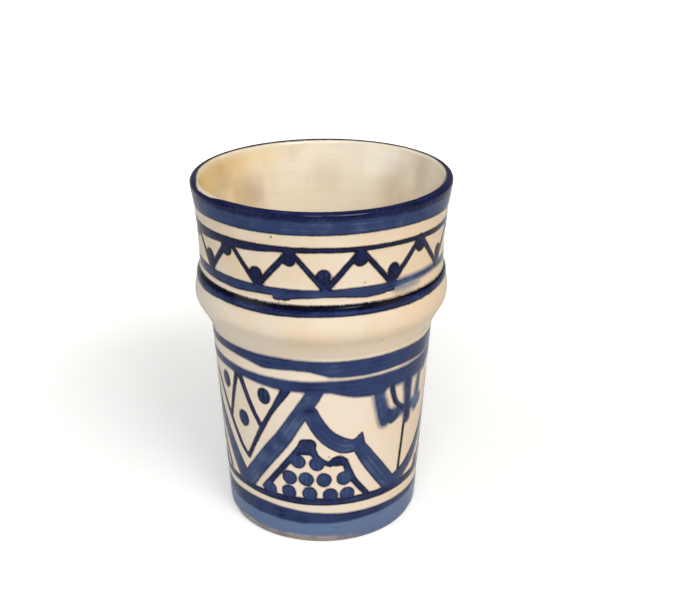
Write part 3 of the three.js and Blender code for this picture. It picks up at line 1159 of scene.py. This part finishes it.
def clay_material(colours):
    """Bare fired clay of the foot, with the wash run over it on the right."""
    look = MaterialNodes("bare_clay")
    clay = look.group("Fired Clay", colours)
    across, _, height = look.node("SeparateXYZ", {0: look.place()}).outputs
    run = look.times(look.fade(across, *WASH_RUN_SIDE), look.fade(height, *WASH_RUN_HEIGHTS), 0.8)
    look.feed(look.shader, {
        "Base Color": look.mix(run, clay["Color"], colours.wash),
        "Normal": look.bump(clay["Height"], 0.5, 0.3 * MM),
        "Roughness": 0.88,
        "Specular IOR Level": 0.25,
    })
    return look.material


class CUP_OT_throw_clay_body(Operator):
    """Throw the clay body, from the recess under its foot over the lip to the floor inside"""

    bl_idname = "cup.throw_clay_body"
    bl_label = "Throw Clay Body"
    bl_options = {"REGISTER", "UNDO"}

    def execute(self, context):
        shape = context.scene.cup_shape
        wall = np.vstack([outside_outline(shape), lip_outline(shape), inside_outline(shape)])
        rings = [*foot_outline(shape), *moved(wall, -shape.glaze_thickness)]
        body = start_ring("thrown_clay", rings[0], shape.plain_facets)
        pull(rings)
        bpy.ops.mesh.merge(type="CENTER")
        select_ring(body, *rings[0])
        bpy.ops.mesh.merge(type="CENTER")
        smooth_over(body, 1)
        close_up(body)
        place_vertices(body, uneven(positions(body), shape))
        body.data.materials.append(clay_material(context.scene.cup_colours))
        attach(body, "root")
        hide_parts("clay_body")
        return {"FINISHED"}


class CUP_OT_pour_inside_glaze(Operator):
    """Pour the cream coat inside the cup, from under the lip to the floor"""

    bl_idname = "cup.pour_inside_glaze"
    bl_label = "Pour Inside Glaze"
    bl_options = {"REGISTER", "UNDO"}

    def execute(self, context):
        shape = context.scene.cup_shape
        outline = np.vstack([lip_outline(shape)[-TUCKED_LIP_RINGS:], inside_outline(shape)])
        back = moved(outline, -shape.glaze_thickness)
        tuck = np.zeros(len(outline))
        tuck[: TUCKED_LIP_RINGS + LAP_RINGS - 1] = -TUCK_DEPTH
        seen = moved(outline, tuck)
        coat = start_ring("poured_inside_glaze", seen[0], shape.plain_facets)
        pull(seen)
        bpy.ops.mesh.merge(type="CENTER")
        smooth_over(coat, 2)
        select_ring(coat, *seen[0])
        pull([seen[0], *back[::2], back[-1]])
        bpy.ops.mesh.merge(type="CENTER")
        close_up(coat)
        place_vertices(coat, uneven(positions(coat), shape))
        coat.data.materials.append(inside_glaze_material(context.scene.cup_colours))
        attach(coat, "root")
        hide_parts("inside_glaze")
        return {"FINISHED"}


class CUP_OT_paint_outside_glaze(Operator):
    """Pour the cream coat over the outside and the lip, and brush the cobalt onto it"""

    bl_idname = "cup.paint_outside_glaze"
    bl_label = "Paint Outside Glaze"
    bl_options = {"REGISTER", "UNDO"}

    def execute(self, context):
        shape = context.scene.cup_shape
        outside, over = outside_outline(shape), lip_outline(shape)
        outline = np.vstack([outside, over, inside_outline(shape)[:LAP_RINGS]])
        back = moved(outline, -shape.glaze_thickness)
        raised = np.zeros(len(outline))
        raised[-LAP_RINGS:] = LAP_RAISE
        seen = moved(outline, raised)
        coat = start_ring("painted_outside_glaze", seen[0], shape.facets)
        pull(seen)
        bpy.ops.object.mode_set(mode="OBJECT")
        self.mark_heights(coat, seen, len(outside))
        smooth_over(coat, 2)
        bpy.ops.object.mode_set(mode="OBJECT")
        self.paint(coat, shape)
        front = len(coat.data.vertices)
        bpy.ops.object.mode_set(mode="EDIT")
        select_ring(coat, *seen[0])
        straight = back[: WALL_RINGS : WALL_RINGS // 2]
        pull([seen[0], *straight, *back[WALL_RINGS:]])
        bpy.ops.mesh.select_all(action="DESELECT")
        bpy.ops.mesh.select_non_manifold()
        bpy.ops.mesh.bridge_edge_loops()
        close_up(coat)
        places = positions(coat)
        places[front:] = uneven(places[front:], shape)
        place_vertices(coat, places)
        coat.data.materials.append(painted_glaze_material(shape, context.scene.cup_colours))
        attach(coat, "root")
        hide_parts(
            "outside_glaze",
            "rim_band",
            "frieze_top_line",
            "frieze_bottom_line",
            "ridge_line",
            "shoulder_band",
            "panel_top_line",
            "panel_bottom_line",
            "foot_band",
        )
        return {"FINISHED"}

    def mark_heights(self, coat, rings, outside):
        """Keeps each ring's painting height: its own on the outside, and then the way along the lip."""
        steps = np.linalg.norm(np.diff(rings[outside - 1 :], axis=0), axis=1)
        heights = np.concatenate([rings[:outside, 1], rings[outside - 1, 1] + np.cumsum(steps)]) / MM
        places = positions(coat)
        radius = np.hypot(places[:, 0], places[:, 1])
        gaps = np.hypot(radius[:, None] - rings[None, :, 0], places[:, 2:] - rings[None, :, 1])
        mark(coat, "height", heights[np.argmin(gaps, axis=1)])

    def paint(self, coat, shape):
        """Moves the coat as it was thrown, brushes it, and raises the paint off the glaze."""
        flat = positions(coat)
        places = uneven(flat, shape)
        height = marked(coat, "height") + (places[:, 2] - flat[:, 2]) / MM
        turn = turn_angle(places)
        brushwork = Brushwork(turn, height, np.hypot(places[:, 0], places[:, 1]) / MM)
        paint_panel(brushwork)
        paint_frieze(brushwork)
        for band in BANDS:
            brushwork.ring(band)
        paint_ragged_edges(brushwork)
        mark(coat, "paint_depth", brushwork.depth)
        mark(coat, "paint_soft", brushwork.soft)
        mark(coat, "paint_ink", brushwork.ink)
        normals = np.empty(len(places) * 3, np.float32)
        coat.data.vertex_normals.foreach_get("vector", normals)
        normals = normals.reshape(-1, 3)
        outward = np.sign(np.einsum("ij,ij->i", normals[:, :2], places[:, :2]).mean())
        low, high = edge_height(RIDGE_LINE.lower, turn), edge_height(RIDGE_LINE.upper, turn)
        middle, half = (low + high) / 2, (high - low) / 2
        bead = np.sqrt(np.clip(1 - ((height - middle) / half) ** 2, 0, 1))
        relief = shape.paint_relief * ease(brushwork.depth, *RELIEF_EDGE) + shape.ridge_bead * bead
        place_vertices(coat, places + normals * (outward * relief)[:, None])


class CUP_OT_set_stage(Operator):
    """Set out the pale floor, the lamps and the camera"""

    bl_idname = "cup.set_stage"
    bl_label = "Set Stage"
    bl_options = {"REGISTER", "UNDO"}

    def execute(self, context):
        stage = context.scene.cup_stage
        self.add_floor(stage)
        self.add_room(context, stage)
        for name, lamp in LAMPS.items():
            self.add_lamp(name + "_lamp", lamp, getattr(stage, name + "_power"))
        self.add_camera(context, stage)
        return {"FINISHED"}

    def add_floor(self, stage):
        """A round floor whose edge is turned up as a backdrop, open when seen from below."""
        bend_radius, bend_height = BACKDROP_BEND
        rings = (
            (FLOOR_DISC, 0.0),
            (stage.floor_radius, 0.0),
            (stage.floor_radius * bend_radius, stage.backdrop_height * bend_height),
            (stage.floor_radius * BACKDROP_EDGE, stage.backdrop_height),
        )
        floor = start_ring("floor", rings[0], FLOOR_FACETS)
        bpy.ops.mesh.edge_face_add()
        select_ring(floor, *rings[0])
        pull(rings)
        bpy.ops.mesh.select_all(action="SELECT")
        bpy.ops.mesh.normals_make_consistent(inside=True)
        bpy.ops.object.mode_set(mode="OBJECT")
        if floor.data.polygons[0].normal.z < 0:
            floor.data.flip_normals()
        bpy.ops.object.shade_smooth_by_angle(angle=FLOOR_CREASE)
        floor.data.materials.append(self.floor_material(stage))

    def floor_material(self, stage):
        """Pale matt floor that shows white and keeps the shadow on it."""
        look = MaterialNodes("pale_floor")
        colour_seen = {"Base Color": rgba(stage.floor_colour), "Roughness": 1.0, "Specular IOR Level": 0.0}
        look.feed(look.shader, colour_seen)
        path = look.node("LightPath").outputs
        mirrored = look.math("MAXIMUM", path["Is Glossy Ray"], path["Is Transmission Ray"])
        away = look.node("VectorMath", {0: look.place()}, operation="LENGTH").outputs["Value"]
        glow = look.scaled(look.fade(away, *GLOW_REACH), GLOW_RISE, GLOW_NEAR)
        glow = look.scaled(mirrored, MIRRORED_GLOW, look.times(path["Is Camera Ray"], glow))
        lift = look.node("Emission", {"Strength": glow})
        lit = look.node("AddShader", {0: look.shader.outputs[0], 1: lift.outputs[0]})
        under = look.node("NewGeometry").outputs["Backfacing"]
        clear = look.node("BsdfTransparent")
        shown = look.node("MixShader", {0: under, 1: lit.outputs[0], 2: clear.outputs[0]})
        look.feed(look.tree.nodes["Material Output"], {"Surface": shown.outputs[0]})
        return look.material

    def add_room(self, context, stage):
        """Even, slightly warm light from all round."""
        world = bpy.data.worlds.new("room")
        world.use_nodes = True
        room = world.node_tree.nodes["Background"]
        room.inputs["Color"].default_value = rgba(ROOM_TINT)
        room.inputs["Strength"].default_value = stage.room_light
        context.scene.world = world

    def add_lamp(self, name, lamp, power):
        """A soft round lamp that faces the middle of the cup."""
        turn, rise = math.radians(lamp.right), math.radians(lamp.up)
        middle = (cad_low.z + cad_high.z) / 2
        aim = Vector((math.sin(turn) * math.cos(rise), -math.cos(turn) * math.cos(rise), math.sin(rise)))
        bpy.ops.object.light_add(type="AREA", location=aim * LAMP_DISTANCE + Vector((0, 0, middle)))
        light = bpy.context.object
        light.name = name
        light.data.shape = "DISK"
        light.data.size = lamp.width
        light.data.energy = power
        light.data.color = lamp.tint
        light.rotation_euler = aim.to_track_quat("Z", "Y").to_euler()

    def add_camera(self, context, stage):
        """The photograph's camera."""
        turn = (math.pi / 2 - stage.camera_pitch, 0, -stage.camera_yaw)
        bpy.ops.object.camera_add(location=(0, -stage.camera_back, stage.camera_height), rotation=turn)
        camera = bpy.context.object
        camera.data.sensor_fit = "HORIZONTAL"
        camera.data.sensor_width = SENSOR_WIDTH
        camera.data.lens = stage.camera_lens
        camera.data.clip_start = CLIP_START
        context.scene.camera = camera
        context.scene.view_settings.view_transform = "Standard"


class CUP_PT_cup(Panel):
    """The cup's pieces, sizes and colours"""

    bl_idname = "CUP_PT_cup"
    bl_label = "Earthenware Cup"
    bl_space_type = "VIEW_3D"
    bl_region_type = "UI"
    bl_category = "Cup"

    def draw(self, context):
        for piece in PIECES:
            self.layout.operator(piece.bl_idname)
        for settings in (context.scene.cup_shape, context.scene.cup_colours, context.scene.cup_stage):
            box = self.layout.box()
            for name in settings.__annotations__:
                box.prop(settings, name)


PIECES = (CUP_OT_throw_clay_body, CUP_OT_pour_inside_glaze, CUP_OT_paint_outside_glaze, CUP_OT_set_stage)
CLASSES = (CupShape, CupColours, CupStage, *PIECES, CUP_PT_cup)


def register():
    for kind in CLASSES:
        bpy.utils.register_class(kind)
    bpy.types.Scene.cup_shape = PointerProperty(type=CupShape)
    bpy.types.Scene.cup_colours = PointerProperty(type=CupColours)
    bpy.types.Scene.cup_stage = PointerProperty(type=CupStage)


def unregister():
    del bpy.types.Scene.cup_stage
    del bpy.types.Scene.cup_colours
    del bpy.types.Scene.cup_shape
    for kind in reversed(CLASSES):
        bpy.utils.unregister_class(kind)


def main():
    register()
    bpy.ops.cup.throw_clay_body()
    bpy.ops.cup.pour_inside_glaze()
    bpy.ops.cup.paint_outside_glaze()
    bpy.ops.cup.set_stage()


if __name__ == "__main__":
    main()
